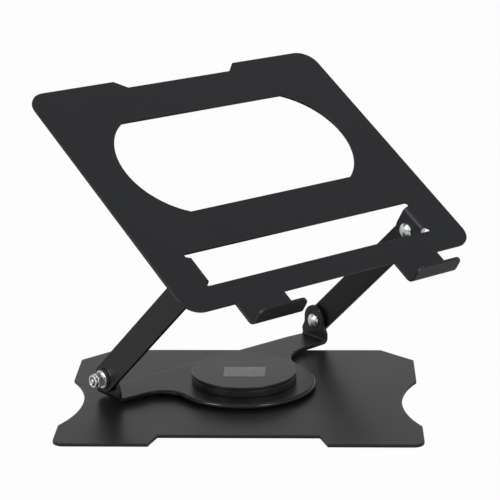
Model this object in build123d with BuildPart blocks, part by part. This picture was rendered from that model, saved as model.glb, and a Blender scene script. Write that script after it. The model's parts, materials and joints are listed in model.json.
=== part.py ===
import os
from math import cos, radians, sin

from build123d import *

# Pose in which the stand is drawn, in degrees
swivel_angle = 41.6
arm_angle = 42.7
tray_angle = 32.3

# Base plate, with the swivel axis at x = y = 0 and the desk at z = 0
base_width = 260.0
base_depth = 200.0
base_thickness = 2.5
axis_to_rear = 83.0
base_corner_radius = 8.0
rear_chamfer_across = 25.0
rear_chamfer_back = 24.0
base_notch_width = 125.0
base_notch_floor_width = 114.0
base_notch_depth = 16.5
scoop_length = 94.0
scoop_depth = 12.7
scoop_middle = -35.0
scoop_corner_radius = 3.0

# Rubber pads under the base plate
pad_height = 1.5
pad_radius = 9.0
pad_inset_across = 20.0
front_pad_inset = 18.0
rear_pad_inset = 40.0
centre_pad_radius = 30.0

# Hub that holds the swivel plate down on the base
spindle_radius = 20.0
spindle_flange_radius = 36.0
spindle_flange_height = 3.9
lower_ring_radius = 50.0
lower_ring_height = 1.9
upper_ring_radius = 35.0
upper_ring_height = 0.5
cap_radius = 39.4
cap_height = 7.3
cap_foot_gap = 0.2
cap_lip_height = 2.7
cap_groove_height = 0.5
cap_groove_depth = 0.5
cap_edge_radius = 0.8
label_width = 31.0
label_depth = 21.5
label_height = 0.15
label_across = 0.7
label_middle = -4.8

# Countersunk screws from below, through the base into the spindle
hub_screw_count = 4
hub_screw_circle = 13.0
hub_screw_radius = 2.5
hub_screw_head_radius = 4.6
hub_screw_length = 9.0

# Swivel plate: a round plate in front of a bar with an upturned ear at each end
swivel_thickness = 3.0
swivel_disc_radius = 54.0
bar_width = 30.5
bar_middle = 41.5
bar_offset = 6.5
left_fillet_radius = 20.0
right_fillet_radius = 30.0
bar_taper_length = 14.0
swivel_bend_radius = 1.5
lower_hinge_rise = 13.2
lower_ear_width = 28.2
lower_ear_radius = 11.2
ear_crown_rise = 1.6
ear_neck_drop = 2.5
ear_shoulder_drop = 8.0
ear_shoulder_radius = 3.0
ear_neck_radius = 4.0

# Arms between the two hinge lines
arm_spacing = 206.0
arm_length = 142.0
arm_width = 20.8
arm_thickness = 3.0

# Tray sheet with its bent ears and hooks
tray_width = 268.0
tray_depth = 222.0
tray_thickness = 2.0
tray_corner_radius = 15.0
tray_bend_radius = 2.0
tray_rise = 14.7
hinge_to_front = 35.4
tray_notch_width = 113.0
tray_notch_floor_width = 96.0
tray_notch_depth = 8.1
window_length = 203.0
window_straight = 150.0
window_to_front = 85.8
window_to_rear = 42.2
slot_height = 31.0
slot_to_front = 19.4
upper_ear_radius = 11.0
relief_radius = 1.7
hook_spacing = 146.4
hook_width = 42.3
hook_reach = 22.1
hook_bend_radius = 4.0
lip_height = 15.3
lip_corner_radius = 6.0

# Pivot hardware, the same at all four pivots
bolt_radius = 3.0
bolt_neck_width = 6.0
bolt_head_radius = 6.0
bolt_head_height = 3.4
bolt_head_rim = 0.7
bolt_tip = 0.4
friction_washer_radius = 9.0
lower_friction_height = 0.4
upper_friction_height = 1.4
slip_washer_radius = 7.8
slip_washer_height = 0.8
washer_radius = 6.7
washer_height = 1.4
nut_sides = 6
nut_across_flats = 10.0
nut_height = 7.6
nut_collar_height = 2.4
nut_collar_radius = 4.9
insert_radius = 4.0

# Clearances, and how near a corner must lie to its place to count
slide_gap = 0.1
running_clearance = 0.05
seat_clearance = 0.1
place_tolerance = 0.01

# Heights and places that follow from the sizes
base_top = pad_height + base_thickness
base_rear = axis_to_rear
base_front = axis_to_rear - base_depth
half_base = base_width / 2
swivel_under = base_top + lower_ring_height + slide_gap
swivel_top = swivel_under + swivel_thickness
upper_ring_under = swivel_top + slide_gap
flange_under = upper_ring_under + upper_ring_height
flange_top = flange_under + spindle_flange_height
cap_under = swivel_top + cap_foot_gap
cap_top = flange_under + cap_height
lower_hinge_height = swivel_top + lower_hinge_rise
arm_inner = arm_spacing / 2
arm_outer = arm_inner + arm_thickness
lower_ear_outer = arm_inner - slide_gap - lower_friction_height
lower_ear_inner = lower_ear_outer - swivel_thickness
upper_ear_outer = arm_inner - slide_gap - upper_friction_height
upper_ear_inner = upper_ear_outer - tray_thickness
slip_seat = arm_outer + slide_gap
washer_seat = slip_seat + slip_washer_height
nut_seat = washer_seat + washer_height
bolt_end = nut_seat + nut_height + bolt_tip
tray_under = tray_rise - tray_thickness
tray_front = -hinge_to_front
tray_rear = tray_front + tray_depth

# Directions of the turned upper part
sides = (-1, 1)
up = Vector(0, 0, 1)
across = Vector(cos(radians(swivel_angle)), sin(radians(swivel_angle)), 0)
rearward = up.cross(across)
arm_along = rearward * -cos(radians(arm_angle)) + up * sin(radians(arm_angle))
tray_along = rearward * cos(radians(tray_angle)) + up * sin(radians(tray_angle))
tray_normal = across.cross(tray_along)
bar_centre = across * bar_offset + rearward * bar_middle
lower_hinge = bar_centre + up * lower_hinge_height
upper_hinge = lower_hinge + arm_along * arm_length
tray_plane = Plane(origin=upper_hinge, x_dir=across, z_dir=tray_normal)
swivel_plane = Plane(origin=up * swivel_under, x_dir=across, z_dir=up)


def pivot_plane(hinge, side, offset, upright):
    # Faces outwards along a hinge line, at an offset from the middle of the stand
    return Plane(origin=hinge + across * (side * offset), x_dir=upright, z_dir=across * side)


def on_tray(side_place, along, height):
    return upper_hinge + across * side_place + tray_along * along + tray_normal * height


def corners_at(sketch, places):
    # The sketch's corners that lie on the given places
    return [v for v in sketch.vertices() for x, y in places if abs(v.X - x) + abs(v.Y - y) < place_tolerance]


def finish(piece, name):
    piece.part.label = name
    export_step(piece.part, f"parts/{name}.step")


def bend_section(inner_radius, thickness):
    # Quarter of a tube wall, in the sketch's left lower quadrant
    Circle(inner_radius + thickness)
    Circle(inner_radius, mode=Mode.SUBTRACT)
    Rectangle(2 * (inner_radius + thickness), 2 * (inner_radius + thickness),
              align=(Align.MAX, Align.MAX), mode=Mode.INTERSECT)


os.makedirs("parts", exist_ok=True)

# Base plate
notch_floor = base_front + base_notch_depth
scoop_radius = ((scoop_length / 2) ** 2 + scoop_depth**2) / (2 * scoop_depth)
scoop_ends = (scoop_middle - scoop_length / 2, scoop_middle + scoop_length / 2)
with BuildPart() as base_plate:
    with BuildSketch(Plane.XY.offset(pad_height)) as base_outline:
        with BuildLine():
            Polyline(
                (0, base_rear),
                (half_base - rear_chamfer_across, base_rear),
                (half_base, base_rear - rear_chamfer_back),
                (half_base, base_front),
                (base_notch_width / 2, base_front),
                (base_notch_floor_width / 2, notch_floor),
                (0, notch_floor),
                close=True,
            )
        make_face()
        with Locations((half_base - scoop_depth + scoop_radius, scoop_middle)):
            Circle(scoop_radius, mode=Mode.SUBTRACT)
        mirror(about=Plane.YZ)
        front_corners = [(side * half_base, base_front) for side in sides]
        fillet(corners_at(base_outline, front_corners), base_corner_radius)
        scoop_corners = [(side * half_base, end) for side in sides for end in scoop_ends]
        fillet(corners_at(base_outline, scoop_corners), scoop_corner_radius)
    extrude(amount=base_thickness)
    with Locations(Plane(origin=up * pad_height, x_dir=(1, 0, 0), z_dir=-up)):
        with PolarLocations(hub_screw_circle, hub_screw_count):
            CounterSinkHole(hub_screw_radius + seat_clearance, hub_screw_head_radius + seat_clearance)
finish(base_plate, "base_plate")

# Rubber pads, one near each corner and one under the hub
pad_across = half_base - pad_inset_across
with BuildPart() as base_pads:
    with BuildSketch():
        for pad_back in (base_front + front_pad_inset, base_rear - rear_pad_inset):
            with Locations((-pad_across, pad_back), (pad_across, pad_back)):
                Circle(pad_radius)
    extrude(amount=pad_height)
finish(base_pads, "base_pads")

with BuildPart() as centre_pad:
    with BuildSketch():
        Circle(centre_pad_radius)
    extrude(amount=pad_height)
finish(centre_pad, "centre_pad")

# Hub: spindle on the base, with a slide ring below and above the swivel plate
with BuildPart() as hub_spindle:
    with BuildSketch(Plane.XY.offset(base_top)):
        Circle(spindle_radius)
    extrude(amount=flange_under - base_top)
    with BuildSketch(Plane.XY.offset(flange_under)):
        Circle(spindle_flange_radius)
    extrude(amount=spindle_flange_height)
    with BuildSketch(Plane.XY.offset(base_top)):
        with PolarLocations(hub_screw_circle, hub_screw_count):
            Circle(hub_screw_radius + seat_clearance)
    extrude(amount=hub_screw_length - base_thickness + seat_clearance, mode=Mode.SUBTRACT)
finish(hub_spindle, "hub_spindle")

with BuildPart() as lower_slide_ring:
    with BuildSketch(Plane.XY.offset(base_top)):
        Circle(lower_ring_radius)
        Circle(spindle_radius + seat_clearance, mode=Mode.SUBTRACT)
    extrude(amount=lower_ring_height)
finish(lower_slide_ring, "lower_slide_ring")

with BuildPart() as upper_slide_ring:
    with BuildSketch(Plane.XY.offset(upper_ring_under)):
        Circle(upper_ring_radius)
        Circle(spindle_radius + seat_clearance, mode=Mode.SUBTRACT)
    extrude(amount=upper_ring_height)
finish(upper_slide_ring, "upper_slide_ring")

screw_head_height = hub_screw_head_radius - hub_screw_radius
with BuildPart() as hub_screws:
    with BuildSketch(Plane.XZ) as screw_half:
        with BuildLine():
            Polyline(
                (0, pad_height),
                (hub_screw_head_radius, pad_height),
                (hub_screw_radius, pad_height + screw_head_height),
                (hub_screw_radius, pad_height + hub_screw_length),
                (0, pad_height + hub_screw_length),
                close=True,
            )
        make_face()
    with PolarLocations(hub_screw_circle, hub_screw_count):
        add(revolve(screw_half.sketch, axis=Axis.Z, mode=Mode.PRIVATE))
finish(hub_screws, "hub_screws")

# Cap over the spindle flange: a low turned puck with a groove under its top lip
groove_top = cap_top - cap_lip_height
groove_under = groove_top - cap_groove_height
cavity_radius = spindle_flange_radius + seat_clearance
with BuildPart() as hub_cap:
    with BuildSketch(Plane.XZ):
        with BuildLine():
            Polyline(
                (cavity_radius, cap_under),
                (cap_radius, cap_under),
                (cap_radius, groove_under),
                (cap_radius - cap_groove_depth, groove_under),
                (cap_radius - cap_groove_depth, groove_top),
                (cap_radius, groove_top),
                (cap_radius, cap_top),
                (0, cap_top),
                (0, flange_top),
                (cavity_radius, flange_top),
                close=True,
            )
        make_face()
    revolve(axis=Axis.Z)
    fillet(hub_cap.faces().sort_by(Axis.Z)[-1].outer_wire().edges(), cap_edge_radius)
finish(hub_cap, "hub_cap")

with BuildPart() as hub_label:
    with BuildSketch(Plane.XY.offset(cap_top)):
        with Locations((label_across, label_middle)):
            Rectangle(label_width, label_depth)
    extrude(amount=label_height)
finish(hub_label, "hub_label")

# Swivel plate
bar_flat_half = lower_ear_inner - swivel_bend_radius
bend_height = swivel_top + swivel_bend_radius
bar_front = bar_middle - bar_width / 2
bar_full_half = bar_flat_half - bar_taper_length
bar_outline = [
    (bar_flat_half, -lower_ear_width / 2),
    (bar_flat_half, lower_ear_width / 2),
    (bar_full_half, bar_width / 2),
    (-bar_full_half, bar_width / 2),
    (-bar_flat_half, lower_ear_width / 2),
    (-bar_flat_half, -lower_ear_width / 2),
    (-bar_full_half, -bar_width / 2),
    (bar_full_half, -bar_width / 2),
]
with BuildPart() as swivel_plate:
    with BuildSketch(swivel_plane) as swivel_outline:
        Circle(swivel_disc_radius)
        with Locations((bar_offset, bar_middle)):
            Polygon(bar_outline)
        corner_across = (swivel_disc_radius**2 - bar_front**2) ** 0.5
        fillet(corners_at(swivel_outline, [(-corner_across, bar_front)]), left_fillet_radius)
        fillet(corners_at(swivel_outline, [(corner_across, bar_front)]), right_fillet_radius)
        Circle(spindle_radius + running_clearance, mode=Mode.SUBTRACT)
    extrude(amount=swivel_thickness)
    for side in sides:
        bend_centre = bar_centre + across * (side * bar_flat_half) + up * bend_height
        with BuildSketch(Plane(origin=bend_centre, x_dir=across * -side, z_dir=rearward * side)):
            bend_section(swivel_bend_radius, swivel_thickness)
        extrude(amount=lower_ear_width / 2, both=True)
        ear_plane = pivot_plane(lower_hinge, side, lower_ear_inner, rearward * side)
        with BuildSketch(ear_plane) as lower_ear:
            ear_foot = bend_height - lower_hinge_height
            with BuildLine():
                Polyline(
                    (lower_ear_width / 2, ear_foot),
                    (lower_ear_width / 2, -ear_shoulder_drop),
                    (lower_ear_radius, -ear_neck_drop),
                    (lower_ear_radius, ear_crown_rise),
                    (-lower_ear_radius, ear_crown_rise),
                    (-lower_ear_radius, -ear_neck_drop),
                    (-lower_ear_width / 2, -ear_shoulder_drop),
                    (-lower_ear_width / 2, ear_foot),
                    close=True,
                )
            make_face()
            shoulders = [(edge * lower_ear_width / 2, -ear_shoulder_drop) for edge in sides]
            fillet(corners_at(lower_ear, shoulders), ear_shoulder_radius)
            necks = [(edge * lower_ear_radius, -ear_neck_drop) for edge in sides]
            fillet(corners_at(lower_ear, necks), ear_neck_radius)
            with Locations((0, ear_crown_rise)):
                Circle(lower_ear_radius)
            Rectangle(bolt_neck_width + 2 * seat_clearance, bolt_neck_width + 2 * seat_clearance,
                      mode=Mode.SUBTRACT)
        extrude(amount=swivel_thickness)
finish(swivel_plate, "swivel_plate")

# Arms: flat bars with round ends, turning on the bolts
for side, name in zip(sides, ("left_arm", "right_arm")):
    with BuildPart() as arm:
        with BuildSketch(Plane(origin=lower_hinge + across * (side * arm_inner),
                               x_dir=arm_along, z_dir=across)):
            with Locations((arm_length / 2, 0)):
                SlotCenterToCenter(arm_length, arm_width)
            with Locations((0, 0), (arm_length, 0)):
                Circle(bolt_radius + running_clearance, mode=Mode.SUBTRACT)
        extrude(amount=side * arm_thickness)
    finish(arm, name)

# Tray: one sheet, with ears bent down out of the slot's ends and hooks bent up at the front
hook_bend_outer = hook_bend_radius + tray_thickness
ear_bend_across = upper_ear_outer + tray_bend_radius
ear_bend_height = tray_under - tray_bend_radius
window_bottom = tray_front + window_to_front
window_top = tray_rear - window_to_rear
window_middle = (window_bottom + window_top) / 2
window_end = window_length / 2
window_corner = window_straight / 2
slot_middle = tray_front + slot_to_front + slot_height / 2
lip_outer = tray_front - hook_reach
hook_bend_along = lip_outer + hook_bend_outer
hook_bend_height = tray_rise + hook_bend_radius
with BuildPart() as tray_plate:
    with BuildSketch(tray_plane.offset(tray_under)):
        with Locations((0, tray_front + tray_depth / 2)):
            RectangleRounded(tray_width, tray_depth, tray_corner_radius)
        with Locations((-hook_spacing / 2, tray_front), (hook_spacing / 2, tray_front)):
            Rectangle(hook_width, tray_front - hook_bend_along, align=(Align.CENTER, Align.MAX))
        with BuildLine():
            Polyline(
                (-tray_notch_width / 2, tray_rear),
                (-tray_notch_floor_width / 2, tray_rear - tray_notch_depth),
                (tray_notch_floor_width / 2, tray_rear - tray_notch_depth),
                (tray_notch_width / 2, tray_rear),
                close=True,
            )
        make_face(mode=Mode.SUBTRACT)
        with BuildLine():
            right_end = ThreePointArc(
                (window_corner, window_top),
                (window_end, window_middle),
                (window_corner, window_bottom),
            )
            left_end = ThreePointArc(
                (-window_corner, window_bottom),
                (-window_end, window_middle),
                (-window_corner, window_top),
            )
            Line(right_end @ 1, left_end @ 0)
            Line(left_end @ 1, right_end @ 0)
        make_face(mode=Mode.SUBTRACT)
        with Locations((0, slot_middle)):
            Rectangle(2 * ear_bend_across, slot_height, mode=Mode.SUBTRACT)
        for side in sides:
            for edge in sides:
                relief_along = slot_middle + edge * (slot_height / 2 - relief_radius)
                with Locations((side * ear_bend_across, relief_along)):
                    Circle(relief_radius, mode=Mode.SUBTRACT)
    extrude(amount=tray_thickness)
    for side in sides:
        bend_centre = on_tray(side * ear_bend_across, 0, ear_bend_height)
        with BuildSketch(Plane(origin=bend_centre, x_dir=across * side, z_dir=tray_along * side)):
            bend_section(tray_bend_radius, tray_thickness)
        extrude(amount=upper_ear_radius, both=True)
        with BuildSketch(pivot_plane(upper_hinge, side, upper_ear_inner, tray_along * side)):
            Circle(upper_ear_radius)
            Rectangle(2 * upper_ear_radius, ear_bend_height, align=(Align.CENTER, Align.MIN))
            with Locations((0, ear_bend_height)):
                Rectangle(2 * upper_ear_radius, upper_ear_radius, align=(Align.CENTER, Align.MIN),
                          mode=Mode.SUBTRACT)
            Rectangle(bolt_neck_width + 2 * seat_clearance, bolt_neck_width + 2 * seat_clearance,
                      mode=Mode.SUBTRACT)
        extrude(amount=tray_thickness)
        hook_left = side * hook_spacing / 2 - hook_width / 2
        bend_centre = on_tray(hook_left, hook_bend_along, hook_bend_height)
        with BuildSketch(Plane(origin=bend_centre, x_dir=tray_along, z_dir=across)):
            bend_section(hook_bend_radius, tray_thickness)
        extrude(amount=hook_width)
        lip_foot = on_tray(side * hook_spacing / 2, lip_outer + tray_thickness, hook_bend_height)
        with BuildSketch(Plane(origin=lip_foot, x_dir=across, z_dir=-tray_along)) as lip:
            lip_rise = lip_height - hook_bend_radius
            Rectangle(hook_width, lip_rise, align=(Align.CENTER, Align.MIN))
            lip_corners = [(edge * hook_width / 2, lip_rise) for edge in sides]
            fillet(corners_at(lip, lip_corners), lip_corner_radius)
        extrude(amount=tray_thickness)
finish(tray_plate, "tray_plate")


# Pivot hardware: square-necked bolts with domed heads inside the ears, nuts outside the arms
def make_bolts(hinge, ear_inner, ear_outer, upright, name):
    with BuildPart() as bolts:
        for side in sides:
            seat = hinge + across * (side * ear_inner)
            with BuildSketch(Plane(origin=seat, x_dir=upright, z_dir=across.cross(upright) * side)):
                with BuildLine():
                    dome_edge = (bolt_head_radius, bolt_head_rim)
                    dome = TangentArc((0, bolt_head_height), dome_edge, tangent=(1, 0))
                    Polyline(dome @ 1, (bolt_head_radius, 0), (0, 0), dome @ 0)
                make_face()
            revolve(axis=Axis(seat, across))
            with BuildSketch(pivot_plane(hinge, side, ear_inner, upright)):
                Rectangle(bolt_neck_width, bolt_neck_width)
            extrude(amount=ear_outer - ear_inner)
            with BuildSketch(pivot_plane(hinge, side, ear_inner, upright)):
                Circle(bolt_radius)
            extrude(amount=bolt_end - ear_inner)
    finish(bolts, name)


def make_rings(hinge, seat, outer_radius, height, upright, name):
    with BuildPart() as rings:
        for side in sides:
            with BuildSketch(pivot_plane(hinge, side, seat, upright)):
                Circle(outer_radius)
                Circle(bolt_radius + seat_clearance, mode=Mode.SUBTRACT)
            extrude(amount=height)
    finish(rings, name)


def make_nuts(hinge, upright, name):
    with BuildPart() as nuts:
        for side in sides:
            with BuildSketch(pivot_plane(hinge, side, nut_seat, upright)):
                RegularPolygon(nut_across_flats / 2, nut_sides, major_radius=False)
                Circle(bolt_radius + seat_clearance, mode=Mode.SUBTRACT)
            extrude(amount=nut_height - nut_collar_height)
            with BuildSketch(pivot_plane(hinge, side, nut_seat + nut_height - nut_collar_height, upright)):
                Circle(nut_collar_radius)
                Circle(insert_radius + seat_clearance, mode=Mode.SUBTRACT)
            extrude(amount=nut_collar_height)
    finish(nuts, name)


insert_seat = nut_seat + nut_height - nut_collar_height
pivots = (
    ("lower", lower_hinge, lower_ear_inner, lower_ear_outer, lower_friction_height, up),
    ("upper", upper_hinge, upper_ear_inner, upper_ear_outer, upper_friction_height, tray_along),
)
for level, hinge, ear_inner, ear_outer, friction_height, upright in pivots:
    make_bolts(hinge, ear_inner, ear_outer, upright, f"{level}_bolts")
    make_rings(hinge, ear_outer, friction_washer_radius, friction_height, upright,
               f"{level}_friction_washers")
    make_rings(hinge, slip_seat, slip_washer_radius, slip_washer_height, upright, f"{level}_slip_washers")
    make_rings(hinge, washer_seat, washer_radius, washer_height, upright, f"{level}_washers")
    make_nuts(hinge, upright, f"{level}_nuts")
    make_rings(hinge, insert_seat, insert_radius, nut_collar_height, upright, f"{level}_nut_inserts")
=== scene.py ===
import json
import math
import bmesh
import bpy
from mathutils import Matrix, Vector
from mathutils.kdtree import KDTree


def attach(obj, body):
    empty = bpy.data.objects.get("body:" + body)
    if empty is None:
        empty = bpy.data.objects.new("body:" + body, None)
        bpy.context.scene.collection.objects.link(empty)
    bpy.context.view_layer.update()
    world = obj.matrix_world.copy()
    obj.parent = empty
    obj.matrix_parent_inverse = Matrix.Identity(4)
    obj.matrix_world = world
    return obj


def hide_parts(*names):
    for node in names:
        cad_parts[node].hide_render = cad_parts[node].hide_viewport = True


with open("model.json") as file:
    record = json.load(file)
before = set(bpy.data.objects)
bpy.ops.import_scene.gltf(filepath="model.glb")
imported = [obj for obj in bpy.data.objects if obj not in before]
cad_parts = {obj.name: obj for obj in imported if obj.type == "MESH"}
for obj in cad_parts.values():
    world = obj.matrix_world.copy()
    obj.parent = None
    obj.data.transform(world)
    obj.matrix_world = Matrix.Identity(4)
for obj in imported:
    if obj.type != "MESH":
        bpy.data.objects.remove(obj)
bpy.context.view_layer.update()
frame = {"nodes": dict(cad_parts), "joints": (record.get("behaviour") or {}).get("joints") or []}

nodes = frame["nodes"]
scene = bpy.context.scene
scene.view_settings.view_transform = "Standard"
mm = 0.001
nodeStep = (200, -180)  # spacing in the shader editor
noiseMiddle = 0.5
mergeGap = 2e-6  # m, corners nearer than this are one
sameHeight = 1e-6  # m
sameReach = 1e-5  # m
flatAngle = math.radians(0.5)  # faces that turn less are one flat
roundAngle = math.radians(28)
crispAngle = math.radians(38)
sharpAngle = math.radians(40)
normalWeight = 50
print("frame loaded:", len(nodes), "nodes")


# helpers for shader trees
def addNode(tree, kind, spot, **settings):
    node = tree.nodes.new(kind)
    node.location = (spot[0] * nodeStep[0], spot[1] * nodeStep[1])
    for key, value in settings.items():
        setattr(node, key, value)
    return node


def setIn(node, **values):
    for key, value in values.items():
        node.inputs[key.replace("_", " ")].default_value = value
    return node


def newGroup(name, takes, gives):
    group = bpy.data.node_groups.new(name, "ShaderNodeTree")
    for label, kind, value in takes:
        socket = group.interface.new_socket(label, in_out="INPUT", socket_type=kind)
        if value is not None:
            socket.default_value = value
    for label, kind in gives:
        group.interface.new_socket(label, in_out="OUTPUT", socket_type=kind)
    return group, group.nodes.new("NodeGroupInput"), group.nodes.new("NodeGroupOutput")


def grey(level, alpha=1.0):
    return (level, level, level, alpha)


# powder coat: fine orange peel, slow mottle, and a painted highlight along the eased edges, which are
# glossier too
def makeCoatGroup():
    tree, take, give = newGroup(
        "powderCoatSurface",
        [
            ("Vector", "NodeSocketVector", None),
            ("Tint", "NodeSocketColor", grey(0.02)),
            ("Mottle Tint", "NodeSocketColor", grey(0.025)),
            ("Edge Tint", "NodeSocketColor", grey(0.05)),
            ("Matte", "NodeSocketFloat", 0.45),
            ("Matte Spread", "NodeSocketFloat", 0.08),
            ("Peel Scale", "NodeSocketFloat", 1100.0),
            ("Edge Highlight", "NodeSocketFloat", 0.5),
            ("Edge Gloss", "NodeSocketFloat", 0.15),
        ],
        [("Colour", "NodeSocketColor"), ("Roughness", "NodeSocketFloat"), ("Height", "NodeSocketFloat")],
    )
    peel = addNode(tree, "ShaderNodeTexNoise", (1, 0))
    setIn(peel, Detail=3.0, Roughness=0.55)
    grit = addNode(tree, "ShaderNodeTexNoise", (1, 2))
    setIn(grit, Scale=4200.0, Detail=2.0, Roughness=0.6)
    mottle = addNode(tree, "ShaderNodeTexNoise", (1, 4))
    setIn(mottle, Scale=26.0, Detail=4.0, Roughness=0.62)
    for noise in (peel, grit, mottle):
        tree.links.new(take.outputs["Vector"], noise.inputs["Vector"])
    tree.links.new(take.outputs["Peel Scale"], peel.inputs["Scale"])
    # colour
    slow = addNode(tree, "ShaderNodeMapRange", (2, 4))
    setIn(slow, From_Min=0.32, From_Max=0.68)
    tree.links.new(mottle.outputs["Fac"], slow.inputs["Value"])
    tone = addNode(tree, "ShaderNodeMix", (3, 4), data_type="RGBA")
    tree.links.new(slow.outputs["Result"], tone.inputs["Factor"])
    tree.links.new(take.outputs["Tint"], tone.inputs["A"])
    tree.links.new(take.outputs["Mottle Tint"], tone.inputs["B"])
    # the eased-edge mark, broken up by patch noise, mixes a lighter painted highlight colour into the coat
    mark = addNode(tree, "ShaderNodeAttribute", (1, 6), attribute_name="edgeHighlightMark")
    patch = addNode(tree, "ShaderNodeTexNoise", (1, 7))
    setIn(patch, Scale=160.0, Detail=3.0)
    tree.links.new(take.outputs["Vector"], patch.inputs["Vector"])
    patchyHighlight = addNode(tree, "ShaderNodeMath", (2, 6), operation="MULTIPLY")
    tree.links.new(mark.outputs["Fac"], patchyHighlight.inputs[0])
    tree.links.new(patch.outputs["Fac"], patchyHighlight.inputs[1])
    paintedHighlight = addNode(tree, "ShaderNodeMath", (3, 6), operation="MULTIPLY", use_clamp=True)
    tree.links.new(patchyHighlight.outputs[0], paintedHighlight.inputs[0])
    tree.links.new(take.outputs["Edge Highlight"], paintedHighlight.inputs[1])
    edge = addNode(tree, "ShaderNodeMix", (4, 4), data_type="RGBA")
    tree.links.new(paintedHighlight.outputs[0], edge.inputs["Factor"])
    tree.links.new(tone.outputs["Result"], edge.inputs["A"])
    tree.links.new(take.outputs["Edge Tint"], edge.inputs["B"])
    tree.links.new(edge.outputs["Result"], give.inputs["Colour"])
    # roughness
    lean = addNode(tree, "ShaderNodeMath", (2, 3), operation="SUBTRACT")
    tree.links.new(mottle.outputs["Fac"], lean.inputs[0])
    lean.inputs[1].default_value = noiseMiddle
    matte = addNode(tree, "ShaderNodeMath", (3, 3), operation="MULTIPLY_ADD", use_clamp=True)
    tree.links.new(lean.outputs[0], matte.inputs[0])
    tree.links.new(take.outputs["Matte Spread"], matte.inputs[1])
    tree.links.new(take.outputs["Matte"], matte.inputs[2])
    worn = addNode(tree, "ShaderNodeMath", (3, 2), operation="MULTIPLY")
    tree.links.new(mark.outputs["Fac"], worn.inputs[0])
    tree.links.new(take.outputs["Edge Gloss"], worn.inputs[1])
    sheen = addNode(tree, "ShaderNodeMath", (4, 3), operation="SUBTRACT", use_clamp=True)
    tree.links.new(matte.outputs[0], sheen.inputs[0])
    tree.links.new(worn.outputs[0], sheen.inputs[1])
    tree.links.new(sheen.outputs[0], give.inputs["Roughness"])
    # height
    mixed = addNode(tree, "ShaderNodeMix", (2, 1))
    setIn(mixed, Factor=0.35)
    tree.links.new(peel.outputs["Fac"], mixed.inputs["A"])
    tree.links.new(grit.outputs["Fac"], mixed.inputs["B"])
    tree.links.new(mixed.outputs["Result"], give.inputs["Height"])
    return tree


# plated metal: cloudy dulling and a fine grain
def makeMetalGroup():
    tree, take, give = newGroup(
        "platedMetalSurface",
        [
            ("Vector", "NodeSocketVector", None),
            ("Tint", "NodeSocketColor", grey(0.7)),
            ("Cloud Tint", "NodeSocketColor", grey(0.55)),
            ("Polish", "NodeSocketFloat", 0.25),
            ("Polish Spread", "NodeSocketFloat", 0.15),
            ("Cloud Scale", "NodeSocketFloat", 260.0),
        ],
        [("Colour", "NodeSocketColor"), ("Roughness", "NodeSocketFloat"), ("Height", "NodeSocketFloat")],
    )
    cloud = addNode(tree, "ShaderNodeTexNoise", (1, 0))
    setIn(cloud, Detail=4.0, Roughness=0.6)
    tree.links.new(take.outputs["Vector"], cloud.inputs["Vector"])
    tree.links.new(take.outputs["Cloud Scale"], cloud.inputs["Scale"])
    grain = addNode(tree, "ShaderNodeTexNoise", (1, 2))
    setIn(grain, Scale=3200.0, Detail=2.0)
    tree.links.new(take.outputs["Vector"], grain.inputs["Vector"])
    tone = addNode(tree, "ShaderNodeMix", (2, 0), data_type="RGBA")
    tree.links.new(cloud.outputs["Fac"], tone.inputs["Factor"])
    tree.links.new(take.outputs["Tint"], tone.inputs["A"])
    tree.links.new(take.outputs["Cloud Tint"], tone.inputs["B"])
    tree.links.new(tone.outputs["Result"], give.inputs["Colour"])
    dull = addNode(tree, "ShaderNodeMath", (2, 1), operation="MULTIPLY_ADD", use_clamp=True)
    tree.links.new(cloud.outputs["Fac"], dull.inputs[0])
    tree.links.new(take.outputs["Polish Spread"], dull.inputs[1])
    tree.links.new(take.outputs["Polish"], dull.inputs[2])
    tree.links.new(dull.outputs[0], give.inputs["Roughness"])
    tree.links.new(grain.outputs["Fac"], give.inputs["Height"])
    return tree


# moulded nylon and rubber: soft mottle and a fine mould grain
def makeMouldedGroup():
    tree, take, give = newGroup(
        "mouldedSurface",
        [
            ("Vector", "NodeSocketVector", None),
            ("Tint", "NodeSocketColor", grey(0.02)),
            ("Mottle Tint", "NodeSocketColor", grey(0.03)),
            ("Matte", "NodeSocketFloat", 0.5),
            ("Matte Spread", "NodeSocketFloat", 0.15),
            ("Grain Scale", "NodeSocketFloat", 1500.0),
        ],
        [("Colour", "NodeSocketColor"), ("Roughness", "NodeSocketFloat"), ("Height", "NodeSocketFloat")],
    )
    mottle = addNode(tree, "ShaderNodeTexNoise", (1, 0))
    setIn(mottle, Scale=90.0, Detail=3.0)
    tree.links.new(take.outputs["Vector"], mottle.inputs["Vector"])
    grain = addNode(tree, "ShaderNodeTexVoronoi", (1, 2))
    tree.links.new(take.outputs["Vector"], grain.inputs["Vector"])
    tree.links.new(take.outputs["Grain Scale"], grain.inputs["Scale"])
    tone = addNode(tree, "ShaderNodeMix", (2, 0), data_type="RGBA")
    tree.links.new(mottle.outputs["Fac"], tone.inputs["Factor"])
    tree.links.new(take.outputs["Tint"], tone.inputs["A"])
    tree.links.new(take.outputs["Mottle Tint"], tone.inputs["B"])
    tree.links.new(tone.outputs["Result"], give.inputs["Colour"])
    dull = addNode(tree, "ShaderNodeMath", (2, 1), operation="MULTIPLY_ADD", use_clamp=True)
    tree.links.new(mottle.outputs["Fac"], dull.inputs[0])
    tree.links.new(take.outputs["Matte Spread"], dull.inputs[1])
    tree.links.new(take.outputs["Matte"], dull.inputs[2])
    tree.links.new(dull.outputs[0], give.inputs["Roughness"])
    tree.links.new(grain.outputs["Distance"], give.inputs["Height"])
    return tree


coatGroup = makeCoatGroup()
metalGroup = makeMetalGroup()
mouldedGroup = makeMouldedGroup()


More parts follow.
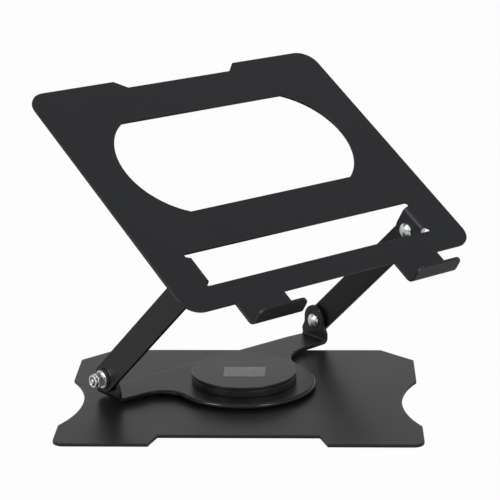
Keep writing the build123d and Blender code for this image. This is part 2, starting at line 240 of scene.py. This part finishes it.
# one material: a surface group on Object coordinates, a bump and a Principled BSDF
def dressMaterial(name, group, look, shader, bump, metallic=0.0):
    material = bpy.data.materials.new(name)
    material.use_nodes = True
    tree = material.node_tree
    tree.nodes.clear()
    out = addNode(tree, "ShaderNodeOutputMaterial", (4, 0))
    surface = addNode(tree, "ShaderNodeBsdfPrincipled", (3, 0))
    surface.inputs["Metallic"].default_value = metallic
    for key, value in shader.items():
        surface.inputs[key].default_value = value
    spot = addNode(tree, "ShaderNodeTexCoord", (0, 0))
    skin = addNode(tree, "ShaderNodeGroup", (1, 0))
    skin.node_tree = group
    for key, value in look.items():
        skin.inputs[key].default_value = value
    tree.links.new(spot.outputs["Object"], skin.inputs["Vector"])
    tree.links.new(skin.outputs["Colour"], surface.inputs["Base Color"])
    tree.links.new(skin.outputs["Roughness"], surface.inputs["Roughness"])
    relief = addNode(tree, "ShaderNodeBump", (2, 1))
    setIn(relief, Strength=bump[0], Distance=bump[1])
    tree.links.new(skin.outputs["Height"], relief.inputs["Height"])
    tree.links.new(relief.outputs["Normal"], surface.inputs["Normal"])
    tree.links.new(surface.outputs["BSDF"], out.inputs["Surface"])
    return material


blackCoat = {
    "Tint": (0.0050, 0.0052, 0.0058, 1.0),
    "Mottle Tint": (0.0064, 0.0066, 0.0073, 1.0),
    # painted highlight: the eased edges are coloured lighter, as if catching light
    "Edge Tint": (0.020, 0.021, 0.022, 1.0),
    "Matte": 0.39,
    "Matte Spread": 0.08,
    "Peel Scale": 1100.0,
    "Edge Highlight": 0.5,
    "Edge Gloss": 0.14,
}
litLevelCoat = dict(blackCoat, **{  # the level plates are glossier, and their tint is lighter as painted light for what their upward faces catch
    "Tint": (0.0066, 0.0068, 0.0074, 1.0),
    "Mottle Tint": (0.0080, 0.0082, 0.0089, 1.0),
    "Matte": 0.35,
})
coatShader = {
    "IOR": 1.5,
    "Specular IOR Level": 0.44,
    "Specular Tint": (0.90, 0.93, 1.0, 1.0),
}
armShader = {
    "IOR": 1.5,
    "Specular IOR Level": 0.37,
    "Specular Tint": (0.92, 0.95, 1.0, 1.0),
}
hubShader = dict(coatShader, **{"Specular IOR Level": 0.64})
plainShader = {}
zincLook = {
    "Tint": (0.90, 0.91, 0.92, 1.0),
    "Cloud Tint": (0.78, 0.79, 0.80, 1.0),
    "Polish": 0.22,
    "Polish Spread": 0.12,
}
foilLook = {
    "Tint": (0.30, 0.29, 0.29, 1.0),
    "Cloud Tint": (0.22, 0.21, 0.21, 1.0),
    "Polish": 0.36,
    "Polish Spread": 0.2,
}
nylonLook = {
    "Tint": (0.010, 0.010, 0.011, 1.0),
    "Mottle Tint": (0.016, 0.016, 0.017, 1.0),
    "Matte": 0.42,
}
insertLook = {
    "Tint": (0.05, 0.05, 0.055, 1.0),
    "Mottle Tint": (0.08, 0.08, 0.085, 1.0),
    "Matte": 0.4,
}
rubberLook = {
    "Tint": (0.012, 0.012, 0.012, 1.0),
    "Mottle Tint": (0.020, 0.020, 0.020, 1.0),
    "Matte": 0.62,
}
coatBump = (0.22, 0.0002)  # strength, and depth in m
zincBump = (0.12, 0.0001)
smoothBump = (0.1, 0.0001)
rubberBump = (0.2, 0.0001)
trayCoat = dressMaterial("trayCoat", coatGroup, blackCoat, coatShader, coatBump)
armCoat = dressMaterial("armCoat", coatGroup, blackCoat, armShader, coatBump)
swivelCoat = dressMaterial("swivelCoat", coatGroup, litLevelCoat, coatShader, coatBump)
baseCoat = dressMaterial("baseCoat", coatGroup, litLevelCoat, coatShader, coatBump)
hubCoat = dressMaterial("hubCoat", coatGroup, litLevelCoat, hubShader, coatBump)
zincSteel = dressMaterial("zincSteel", metalGroup, zincLook, plainShader, zincBump, metallic=1.0)
labelFoil = dressMaterial("labelFoil", metalGroup, foilLook, plainShader, smoothBump, metallic=0.6)
blackNylon = dressMaterial("blackNylon", mouldedGroup, nylonLook, plainShader, smoothBump)
insertNylon = dressMaterial("insertNylon", mouldedGroup, insertLook, plainShader, smoothBump)
padRubber = dressMaterial("padRubber", mouldedGroup, rubberLook, plainShader, rubberBump)
slotMaterial = {
    "tray_coat": trayCoat, "arm_coat": armCoat, "swivel_coat": swivelCoat, "base_coat": baseCoat,
    "hub_coat": hubCoat, "bright_steel": zincSteel, "nylon": blackNylon, "insert_nylon": insertNylon,
    "rubber": padRubber, "foil": labelFoil,
}
for node in nodes.values():  # every CAD node first gets its finish
    name = node.data.materials[0].name
    node.data.materials.clear()
    node.data.materials.append(slotMaterial[name])
print("materials ready:", len(slotMaterial))


# finishing of a mesh into a riding piece
def placePiece(name, bm, material, body, stands):
    mesh = bpy.data.meshes.new(name)
    bm.to_mesh(mesh)
    bm.free()
    mesh.materials.append(material)
    piece = bpy.data.objects.new(name, mesh)
    scene.collection.objects.link(piece)
    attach(piece, body)
    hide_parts(stands)
    return piece


def steadyNormals(piece):
    piece.modifiers.new("steadyNormals", "WEIGHTED_NORMAL").weight = normalWeight


# eased edges carry a mark that the coat reads for its painted edge highlight and glossier edges
def markEdges(bm, eased):
    paintedHighlight = bm.loops.layers.float_color.new("edgeHighlightMark")
    for face in bm.faces:
        for loop in face.loops:
            loop[paintedHighlight] = grey(0.0)
    for face in eased:
        for loop in face.loops:
            loop[paintedHighlight] = grey(1.0)


# lines that pieces are seated on: the hub's axis and the two hinge lines
joints = {joint["name"]: joint for joint in frame["joints"]}
skyward = Vector((0.0, 0.0, 1.0))
hingeAxis = Vector(joints["tray_tilt"]["axis"]).normalized()
rearward = skyward.cross(hingeAxis)
hubLine = (Vector(), skyward)
lowerLine = (Vector(joints["arm_lift"]["pos_m"]), hingeAxis)
upperLine = (Vector(joints["tray_tilt"]["pos_m"]), hingeAxis)


# edges to ease; covered bolt and screw seats near the piece's line stay as cut
def crispEdges(bm, look):
    spot, line = look["line"]
    return [e for e in bm.edges if e.calc_face_angle(0.0) > crispAngle and
            (e.verts[0].co - spot).cross(line).length > look["seat"] * mm]


# all faces that join the broad upper one without a crisp edge between
def upperSkin(bm):
    skin = {max(bm.faces, key=lambda f: f.calc_area() * f.normal.z)}
    grow = list(skin)
    while grow:
        for edge in grow.pop().edges:
            if edge.calc_face_angle(0.0) <= crispAngle:
                fresh = set(edge.link_faces) - skin
                skin |= fresh
                grow += fresh
    return skin


def easeEdges(bm, edges, width, steps, clamp=False):
    eased = bmesh.ops.bevel(
        bm, geom=edges, offset=width * mm, offset_type="OFFSET", affect="EDGES",
        segments=steps, profile=0.5, material=-1, clamp_overlap=clamp,
    )
    return eased["faces"]


# the roll is full on the round rim and along the rear, and slighter on the bar and up the ears
def fadeRoll(faces, corners, look):
    tree = KDTree(len(corners))
    for count, corner in enumerate(corners):
        tree.insert(corner, count)
    tree.balance()
    near, far = look["rollFade"]
    low, high = look["rollClimb"]
    for vert in {v for face in faces for v in face.verts}:
        corner = tree.find(vert.co)[0]
        away = (corner.xy.length / mm - near) / (far - near)
        if corner.dot(rearward) > look["rollRear"] * mm:
            away = 0.0
        climb = (corner.z / mm - low) / (high - low)
        share = 1.0 - (1.0 - look["rollLeast"]) * min(1.0, max(away, climb, 0.0))
        vert.co = corner + (vert.co - corner) * share


# sheet pieces keep their cut shape and get eased edges; a punched one has its upper edge rolled
def easeSheet(look):
    bm = bmesh.new()
    bm.from_mesh(nodes[look["node"]].data)
    bmesh.ops.remove_doubles(bm, verts=bm.verts, dist=mergeGap)
    bmesh.ops.dissolve_limit(bm, angle_limit=flatAngle, verts=bm.verts, edges=bm.edges)
    eased = []
    if "roll" in look:
        skin = upperSkin(bm)
        rolled = [e for e in crispEdges(bm, look) if skin.intersection(e.link_faces)]
        corners = [v.co.copy() for v in {v for e in rolled for v in e.verts}]
        eased += easeEdges(bm, rolled, look["roll"], look["rollSteps"])
        fadeRoll(eased, corners, look)
    eased += easeEdges(bm, crispEdges(bm, look), look["edge"], look["steps"])
    markEdges(bm, [face for face in eased if face.is_valid])
    for face in bm.faces:
        face.smooth = True
    piece = placePiece(look["name"], bm, look["coat"], look["body"], look["node"])
    steadyNormals(piece)


basePlate = {"name": "basePlate", "node": "base_plate", "body": "base", "slot": "base_coat",
             "coat": baseCoat, "edge": 0.5, "steps": 3, "line": hubLine, "seat": 40.0}
swivelPlate = {"name": "swivelPlate", "node": "swivel_plate", "body": "swivel", "slot": "swivel_coat",
               "coat": swivelCoat, "edge": 0.5, "steps": 3, "line": lowerLine, "seat": 5.0,
               "roll": 2.1, "rollSteps": 7, "rollLeast": 0.28, "rollFade": (58.0, 78.0),
               "rollRear": 54.0, "rollClimb": (9.0, 13.0)}
leftArm = {"name": "leftArm", "node": "left_arm", "body": "arms", "slot": "arm_coat",
           "coat": armCoat, "edge": 0.5, "steps": 3, "line": lowerLine, "seat": 0.0}
rightArm = {"name": "rightArm", "node": "right_arm", "body": "arms", "slot": "arm_coat",
            "coat": armCoat, "edge": 0.5, "steps": 3, "line": lowerLine, "seat": 0.0}
trayPlate = {"name": "trayPlate", "node": "tray_plate", "body": "tray", "slot": "tray_coat",
             "coat": trayCoat, "edge": 0.35, "steps": 3, "line": upperLine, "seat": 5.0}
for sheet in (basePlate, swivelPlate, leftArm, rightArm, trayPlate):
    easeSheet(sheet)
print("sheet pieces eased")


# turned pieces: a half outline of (out, along) places in mm goes round the local Z axis
def turnOutline(outline, steps):
    bm = bmesh.new()
    corners = [bm.verts.new((out * mm, 0.0, along * mm)) for out, along in outline]
    for pair in zip(corners, corners[1:]):
        bm.edges.new(pair)
    return spinRound(bm, steps)


def spinRound(bm, steps):
    bmesh.ops.spin(
        bm, geom=bm.verts[:] + bm.edges[:], cent=(0, 0, 0), axis=(0, 0, 1), dvec=(0, 0, 0),
        angle=math.tau, steps=steps, use_merge=True,
    )
    bmesh.ops.remove_doubles(bm, verts=bm.verts, dist=mergeGap)
    bmesh.ops.recalc_face_normals(bm, faces=bm.faces)
    return bm


def ringOutline(bore, rim, low, high):
    return [(bore, low), (rim, low), (rim, high), (bore, high), (bore, low)]


# smooth shading that stays crisp at real corners
def smoothSides(piece):
    for face in piece.data.polygons:
        face.use_smooth = True
    piece.data.set_sharp_from_angle(angle=sharpAngle)


# small rounding on every crisp edge, with the flats kept flat
def roundEdges(piece, width, steps=2):
    for face in piece.data.polygons:
        face.use_smooth = True
    bevel = piece.modifiers.new("softEdge", "BEVEL")
    bevel.width = width * mm
    bevel.segments = steps
    bevel.limit_method = "ANGLE"
    bevel.angle_limit = roundAngle
    bevel.use_clamp_overlap = True
    steadyNormals(piece)


# hinge lines, with what is upright on each: stations count outwards from the middle of the stand
def hingeSpace(joint, upright):
    axis = Vector(joint["axis"]).normalized()
    upright = (upright - axis * upright.dot(axis)).normalized()
    turn = Matrix((upright, axis.cross(upright), axis)).transposed().to_4x4()
    return Matrix.Translation(joint["pos_m"]) @ turn


sheetRise = math.radians(32.3)  # slope of the tray, along which its square holes lie
upTray = rearward * math.cos(sheetRise) + skyward * math.sin(sheetRise)
levels = {
    "lower": {"body": "swivel", "space": hingeSpace(joints["arm_lift"], skyward), "ear": (99.5, 102.5)},
    "upper": {"body": "tray", "space": hingeSpace(joints["tray_tilt"], upTray), "ear": (99.5, 101.5)},
}


def onlyVerts(items):
    return [item for item in items if isinstance(item, bmesh.types.BMVert)]


# the same piece at both ends of a hinge line
def fitPair(bm, level):
    twin = bmesh.ops.duplicate(bm, geom=bm.verts[:] + bm.edges[:] + bm.faces[:])
    about = Matrix.Rotation(math.pi, 3, "X")
    bmesh.ops.rotate(bm, verts=onlyVerts(twin["geom"]), cent=(0, 0, 0), matrix=about)
    bmesh.ops.transform(bm, matrix=level["space"], verts=bm.verts)


pivotBolt = {"head": 6.0, "crown": 3.4, "rim": 0.7, "domeSteps": 10, "neck": 3.0, "neckOut": 4.24,
             "shank": 3.0, "shankEnd": 114.6, "nose": 1.95, "noseEdge": 0.25, "end": 116.3,
             "round": 0.3, "roundSteps": 3, "steps": 48}


def makeBolts(look, level, name, node):
    bm = bmesh.new()
    seat, earOut = level["ear"]
    rise = look["crown"] - look["rim"]
    domeRadius = (look["head"] ** 2 + rise**2) / (2 * rise)
    crown = bm.verts.new((0.0, 0.0, (seat - look["crown"]) * mm))
    bmesh.ops.spin(
        bm, geom=[crown], cent=(0.0, 0.0, (seat - look["crown"] + domeRadius) * mm), axis=(0, 1, 0),
        dvec=(0, 0, 0), angle=-math.asin(look["head"] / domeRadius), steps=look["domeSteps"],
    )
    bm.verts.ensure_lookup_table()
    last = max(bm.verts, key=lambda v: v.co.x)
    outline = [
        (look["head"], seat), (look["neckOut"], seat), (look["neckOut"], earOut), (look["shank"], earOut),
        (look["shank"], look["shankEnd"]), (look["nose"], look["shankEnd"]),
        (look["nose"], look["end"] - look["noseEdge"]), (look["nose"] - look["noseEdge"], look["end"]),
        (0.0, look["end"]),
    ]
    for out, along in outline:
        corner = bm.verts.new((out * mm, 0.0, along * mm))
        bm.edges.new((last, corner))
        last = corner
    spinRound(bm, look["steps"])
    for vert in bm.verts:  # the neck is square
        flat = Vector((vert.co.x, vert.co.y))
        if abs(flat.length - look["neckOut"] * mm) < sameReach:
            vert.co.xy = flat * (look["neck"] * mm / max(abs(flat.x), abs(flat.y)))
    headRim = look["head"] * mm
    rim = [e for e in bm.edges if all(abs(v.co.xy.length - headRim) < sameReach for v in e.verts) and
           abs(e.verts[0].co.z - e.verts[1].co.z) < sameHeight]
    easeEdges(bm, rim, look["round"], look["roundSteps"], clamp=True)
    fitPair(bm, level)
    piece = placePiece(name, bm, zincSteel, level["body"], node)
    smoothSides(piece)


lockNut = {"flats": 5.0, "sides": 6, "seat": 108.3, "shoulder": 113.5, "end": 115.9, "bore": 3.1,
           "waist": 4.72, "waistRise": 0.35, "collar": 4.85, "collarRise": 0.75, "collarTurn": (0.22, 0.75),
           "lip": 3.15, "lipDrop": 0.45, "lipCrest": (0.3, 0.12), "lipBack": (0.1, 1.0),
           "cornerSlope": 30.0, "cornerFrom": 4.9, "round": 0.14, "steps": 48}


def makeNuts(look, level, name, node):
    hexOut = look["flats"] / math.cos(math.pi / look["sides"])
    bore, waist, collar, lip = (look[key] for key in ("bore", "waist", "collar", "lip"))
    seat, shoulder, end = (look[key] for key in ("seat", "shoulder", "end"))
    halfTurn, fullTurn = look["collarTurn"]
    crestOut, crestDrop = look["lipCrest"]
    backOut, backDrop = look["lipBack"]
    outline = [
        (bore, seat), (waist, seat), (hexOut, seat), (hexOut, shoulder), (waist, shoulder),
        (waist, shoulder + look["waistRise"]), (collar, shoulder + look["collarRise"]),
        (collar, end - fullTurn), (collar - halfTurn, end - halfTurn), (collar - fullTurn, end),
        (lip + crestOut, end - crestDrop), (lip, end - look["lipDrop"]),
        (lip + backOut, end - backDrop), (bore, end - backDrop), (bore, seat),
    ]
    bm = turnOutline(outline, look["steps"])
    slope = math.tan(math.radians(look["cornerSlope"]))
    middle = (seat + shoulder) / 2 * mm
    sector = math.tau / look["sides"]
    for vert in bm.verts:  # round blank cut to a hexagon with chamfered corners
        flat = Vector((vert.co.x, vert.co.y))
        if abs(flat.length - hexOut * mm) < sameReach:
            bearing = math.atan2(flat.y, flat.x) % sector
            reach = look["flats"] * mm / math.cos(bearing - sector / 2)
            vert.co.xy = flat * (reach / flat.length)
            drop = max(0.0, reach - look["cornerFrom"] * mm) * slope
            vert.co.z += drop if vert.co.z < middle else -drop
    fitPair(bm, level)
    piece = placePiece(name, bm, zincSteel, level["body"], node)
    roundEdges(piece, look["round"])


# rings on the bolts, from the ear outwards; the friction washer's low side is the ear's own
frictionWasher = {"bore": 3.1, "rim": 9.0, "high": 102.9, "round": 0.12, "steps": 64,
                  "finish": blackNylon, "slot": "nylon"}
slipWasher = {"bore": 3.1, "rim": 7.8, "low": 106.1, "high": 106.9, "round": 0.2, "steps": 64,
              "finish": blackNylon, "slot": "nylon"}
steelWasher = {"bore": 3.1, "rim": 6.7, "low": 106.9, "high": 108.3, "round": 0.3, "steps": 64,
               "finish": zincSteel, "slot": "bright_steel"}
nutInsert = {"bore": 2.0, "rim": 3.05, "low": 114.7, "high": 115.75, "round": 0.15, "steps": 64,
             "finish": insertNylon, "slot": "insert_nylon"}


def makeRings(look, level, name, node):
    bm = turnOutline(ringOutline(look["bore"], look["rim"], look["low"], look["high"]), look["steps"])
    fitPair(bm, level)
    piece = placePiece(name, bm, look["finish"], level["body"], node)
    roundEdges(piece, look["round"])


for levelName, level in levels.items():
    makeBolts(pivotBolt, level, levelName + "Bolts", levelName + "_bolts")
    makeNuts(lockNut, level, levelName + "Nuts", levelName + "_nuts")
    earWasher = dict(frictionWasher, low=level["ear"][1])
    makeRings(earWasher, level, levelName + "FrictionWashers", levelName + "_friction_washers")
    makeRings(slipWasher, level, levelName + "SlipWashers", levelName + "_slip_washers")
    makeRings(steelWasher, level, levelName + "Washers", levelName + "_washers")
    makeRings(nutInsert, level, levelName + "NutInserts", levelName + "_nut_inserts")
print("pivot hardware fitted")

# hub cap: a turned puck, hollow over the spindle flange
hubCap = {"rim": 39.4, "foot": 9.2, "top": 16.9, "grooveLow": 13.7, "grooveHigh": 14.2,
          "grooveDepth": 0.5, "cavity": 36.1, "cavityTop": 13.5, "round": 0.3,
          "crest": 0.5, "crestSteps": 5, "steps": 160}


def makeHubCap(look):
    inner = look["rim"] - look["grooveDepth"]
    outline = [
        (0.0, look["cavityTop"]), (look["cavity"], look["cavityTop"]), (look["cavity"], look["foot"]),
        (look["rim"], look["foot"]), (look["rim"], look["grooveLow"]), (inner, look["grooveLow"]),
        (inner, look["grooveHigh"]), (look["rim"], look["grooveHigh"]), (look["rim"], look["top"]),
        (0.0, look["top"]),
    ]
    bm = turnOutline(outline, look["steps"])
    top = look["top"] * mm
    crest = [e for e in bm.edges if e.calc_face_angle(0.0) > crispAngle and
             all(abs(v.co.z - top) < sameHeight for v in e.verts)]
    # the rounded crest carries the edge mark, so it gets the painted edge highlight
    markEdges(bm, easeEdges(bm, crest, look["crest"], look["crestSteps"], clamp=True))
    piece = placePiece("hubCap", bm, hubCoat, "base", "hub_cap")
    roundEdges(piece, look["round"])


# blank foil label on the cap
hubLabel = {"size": (31.0, 21.5), "middle": (0.7, -4.8), "low": 16.9, "height": 0.15,
            "corner": 0.9, "cornerSteps": 4, "round": 0.04, "roundSteps": 1}


def makeHubLabel(look):
    bm = bmesh.new()
    bmesh.ops.create_grid(bm, x_segments=1, y_segments=1, size=0.5)
    bmesh.ops.scale(bm, vec=(look["size"][0] * mm, look["size"][1] * mm, 1.0), verts=bm.verts)
    bmesh.ops.translate(bm, vec=Vector((*look["middle"], look["low"])) * mm, verts=bm.verts)
    raised = bmesh.ops.extrude_face_region(bm, geom=bm.faces[:])
    lifted = onlyVerts(raised["geom"])
    bmesh.ops.translate(bm, vec=(0.0, 0.0, look["height"] * mm), verts=lifted)
    bmesh.ops.recalc_face_normals(bm, faces=bm.faces)
    upright = [e for e in bm.edges if abs(e.verts[0].co.z - e.verts[1].co.z) > sameHeight]
    easeEdges(bm, upright, look["corner"], look["cornerSteps"], clamp=True)
    piece = placePiece("hubLabel", bm, labelFoil, "base", "hub_label")
    roundEdges(piece, look["round"], look["roundSteps"])


# slide ring that shows as a thin line under the disc
slideRing = {"bore": 20.1, "rim": 50.0, "low": 4.0, "high": 5.9, "round": 0.35, "steps": 128}


def makeSlideRing(look):
    bm = turnOutline(ringOutline(look["bore"], look["rim"], look["low"], look["high"]), look["steps"])
    piece = placePiece("slideRing", bm, blackNylon, "base", "lower_slide_ring")
    roundEdges(piece, look["round"])


makeHubCap(hubCap)
makeHubLabel(hubLabel)
makeSlideRing(slideRing)
print("hub dressed")

# rubber pads with rings moulded into their soles
cornerPads = {"name": "cornerPads", "node": "base_pads", "rim": 9.0, "height": 1.5,
              "grooves": (3.0, 5.0, 7.0), "grooveWidth": 0.8, "grooveDepth": 0.45, "round": 0.18, "steps": 64,
              "places": ((-110.0, -99.0), (110.0, -99.0), (-110.0, 43.0), (110.0, 43.0))}
hubPad = {"name": "hubPad", "node": "centre_pad", "rim": 30.0, "height": 1.5,
          "grooves": (8.0, 14.0, 20.0, 26.0), "grooveWidth": 1.6, "grooveDepth": 0.45,
          "round": 0.18, "steps": 96, "places": ((0.0, 0.0),)}


def makePads(look):
    outline = [(0.0, 0.0)]
    for groove in look["grooves"]:
        near, far = groove - look["grooveWidth"] / 2, groove + look["grooveWidth"] / 2
        outline += [(near, 0.0), (near, look["grooveDepth"]), (far, look["grooveDepth"]), (far, 0.0)]
    outline += [(look["rim"], 0.0), (look["rim"], look["height"]), (0.0, look["height"])]
    bm = turnOutline(outline, look["steps"])
    first = bm.verts[:] + bm.edges[:] + bm.faces[:]
    homeAcross, homeBack = look["places"][0]
    for across, back in look["places"][1:]:
        copy = bmesh.ops.duplicate(bm, geom=first)
        moved = onlyVerts(copy["geom"])
        bmesh.ops.translate(bm, vec=(across * mm, back * mm, 0.0), verts=moved)
    home = onlyVerts(first)
    bmesh.ops.translate(bm, vec=(homeAcross * mm, homeBack * mm, 0.0), verts=home)
    piece = placePiece(look["name"], bm, padRubber, "base", look["node"])
    roundEdges(piece, look["round"])


for pads in (cornerPads, hubPad):
    makePads(pads)
print("pads laid")


# floor and backdrop
studio = {"reach": 8.0, "drop": 0.02, "floorTone": 0.5, "floorWhite": 0.97, "floorShine": 0.12,
          "ambient": 0.5,
          "roomTones": ((0.0, 0.50), (0.12, 0.64), (0.27, 0.96), (0.42, 0.38), (0.56, 0.20),
                        (0.65, 0.26), (0.76, 0.56), (0.88, 0.46))}


def makeFloor(look):
    bm = bmesh.new()
    bmesh.ops.create_grid(bm, x_segments=1, y_segments=1, size=look["reach"])
    bmesh.ops.translate(bm, vec=(0.0, 0.0, -look["drop"] * mm), verts=bm.verts)
    mesh = bpy.data.meshes.new("studioFloor")
    bm.to_mesh(mesh)
    bm.free()
    floor = bpy.data.objects.new("studioFloor", mesh)
    scene.collection.objects.link(floor)
    material = bpy.data.materials.new("paleFloor")
    material.use_nodes = True
    tree = material.node_tree
    tree.nodes.clear()
    out = addNode(tree, "ShaderNodeOutputMaterial", (4, 0))
    paint = addNode(tree, "ShaderNodeBsdfDiffuse", (2, 0))
    setIn(paint, Color=grey(look["floorTone"]))
    white = addNode(tree, "ShaderNodeEmission", (2, 1))
    setIn(white, Color=grey(1.0), Strength=1.0)
    path = addNode(tree, "ShaderNodeLightPath", (0, 0))
    share = addNode(tree, "ShaderNodeMath", (2, 2), operation="MULTIPLY")
    tree.links.new(path.outputs["Is Camera Ray"], share.inputs[0])
    share.inputs[1].default_value = look["floorWhite"]
    shine = addNode(tree, "ShaderNodeMath", (2, 3), operation="MULTIPLY_ADD")
    tree.links.new(path.outputs["Is Glossy Ray"], shine.inputs[0])
    shine.inputs[1].default_value = look["floorShine"]
    tree.links.new(share.outputs[0], shine.inputs[2])
    both = addNode(tree, "ShaderNodeMixShader", (3, 0))
    tree.links.new(shine.outputs[0], both.inputs[0])
    tree.links.new(paint.outputs[0], both.inputs[1])
    tree.links.new(white.outputs[0], both.inputs[2])
    tree.links.new(both.outputs[0], out.inputs["Surface"])
    mesh.materials.append(material)


def makeWorld(look):
    world = bpy.data.worlds.new("studioAir")
    scene.world = world
    world.use_nodes = True
    tree = world.node_tree
    tree.nodes.clear()
    out = addNode(tree, "ShaderNodeOutputWorld", (4, 0))
    soft = addNode(tree, "ShaderNodeBackground", (2, 0))
    setIn(soft, Color=grey(1.0), Strength=look["ambient"])
    white = addNode(tree, "ShaderNodeBackground", (2, 1))
    setIn(white, Color=grey(1.0), Strength=1.0)
    room = addNode(tree, "ShaderNodeBackground", (2, 2))
    setIn(room, Strength=1.0)
    path = addNode(tree, "ShaderNodeLightPath", (0, 0))
    # white walls under a dim ceiling, as glossy paint sees them
    spot = addNode(tree, "ShaderNodeTexCoord", (0, 2))
    axes = addNode(tree, "ShaderNodeSeparateXYZ", (1, 2))
    tree.links.new(spot.outputs["Generated"], axes.inputs[0])
    rise = addNode(tree, "ShaderNodeValToRGB", (1, 3))
    ramp = rise.color_ramp
    ramp.interpolation = "EASE"
    ramp.elements.remove(ramp.elements[1])
    ramp.elements[0].color = grey(look["roomTones"][0][1])
    for height, tone in look["roomTones"][1:]:
        ramp.elements.new(height).color = grey(tone)
    tree.links.new(axes.outputs["Z"], rise.inputs["Fac"])
    tree.links.new(rise.outputs["Color"], room.inputs["Color"])
    glossy = addNode(tree, "ShaderNodeMixShader", (3, 1))
    tree.links.new(path.outputs["Is Glossy Ray"], glossy.inputs[0])
    tree.links.new(soft.outputs[0], glossy.inputs[1])
    tree.links.new(room.outputs[0], glossy.inputs[2])
    both = addNode(tree, "ShaderNodeMixShader", (3, 0))
    tree.links.new(path.outputs["Is Camera Ray"], both.inputs[0])
    tree.links.new(glossy.outputs[0], both.inputs[1])
    tree.links.new(white.outputs[0], both.inputs[2])
    tree.links.new(both.outputs[0], out.inputs["Surface"])


makeFloor(studio)
makeWorld(studio)

# soft lamps
lampAim = Vector((0.0, 0.0, 0.1))
keyLamp = {"name": "keyLamp", "place": (-1.3, -1.0, 1.2), "size": 0.65, "watts": 13.5}
fillLamp = {"name": "fillLamp", "place": (1.09, -1.30, 1.25), "size": 0.6, "watts": 10.0}
topLamp = {"name": "topLamp", "place": (-0.1, -0.9, 2.0), "size": 1.2, "watts": 6.0}


def hangLamp(look):
    light = bpy.data.lights.new(look["name"], "AREA")
    light.shape = "SQUARE"
    light.size = look["size"]
    light.energy = look["watts"]
    lamp = bpy.data.objects.new(look["name"], light)
    lamp.location = look["place"]
    lamp.rotation_euler = (lampAim - lamp.location).to_track_quat("-Z", "Y").to_euler()
    scene.collection.objects.link(lamp)


for lampLook in (keyLamp, fillLamp, topLamp):
    hangLamp(lampLook)
print("studio lit")

# camera at the photograph's angle
photoView = {
    "place": (0.059287, -1.348803, 0.498763),
    "yaw": 2.279, "pitch": 16.049, "roll": 0.671,
    "lens": 137.13, "sensor": 36.0, "sight": 30.0,
}


def setCamera(look):
    yaw, pitch, roll = (math.radians(look[k]) for k in ("yaw", "pitch", "roll"))
    ahead = Vector((-math.sin(yaw) * math.cos(pitch), math.cos(yaw) * math.cos(pitch), -math.sin(pitch)))
    across = Vector((math.cos(yaw), math.sin(yaw), 0.0))
    down = ahead.cross(across)
    across, down = (
        math.cos(roll) * across + math.sin(roll) * down,
        -math.sin(roll) * across + math.cos(roll) * down,
    )
    camera = bpy.data.objects.new("photoCamera", bpy.data.cameras.new("photoCamera"))
    camera.data.lens = look["lens"]
    camera.data.sensor_width = look["sensor"]
    camera.data.clip_end = look["sight"]
    turn = Matrix((across, -down, -ahead)).transposed().to_4x4()
    camera.matrix_world = Matrix.Translation(look["place"]) @ turn
    scene.collection.objects.link(camera)
    scene.camera = camera


setCamera(photoView)
print("camera set")

bpy.context.view_layer.update()
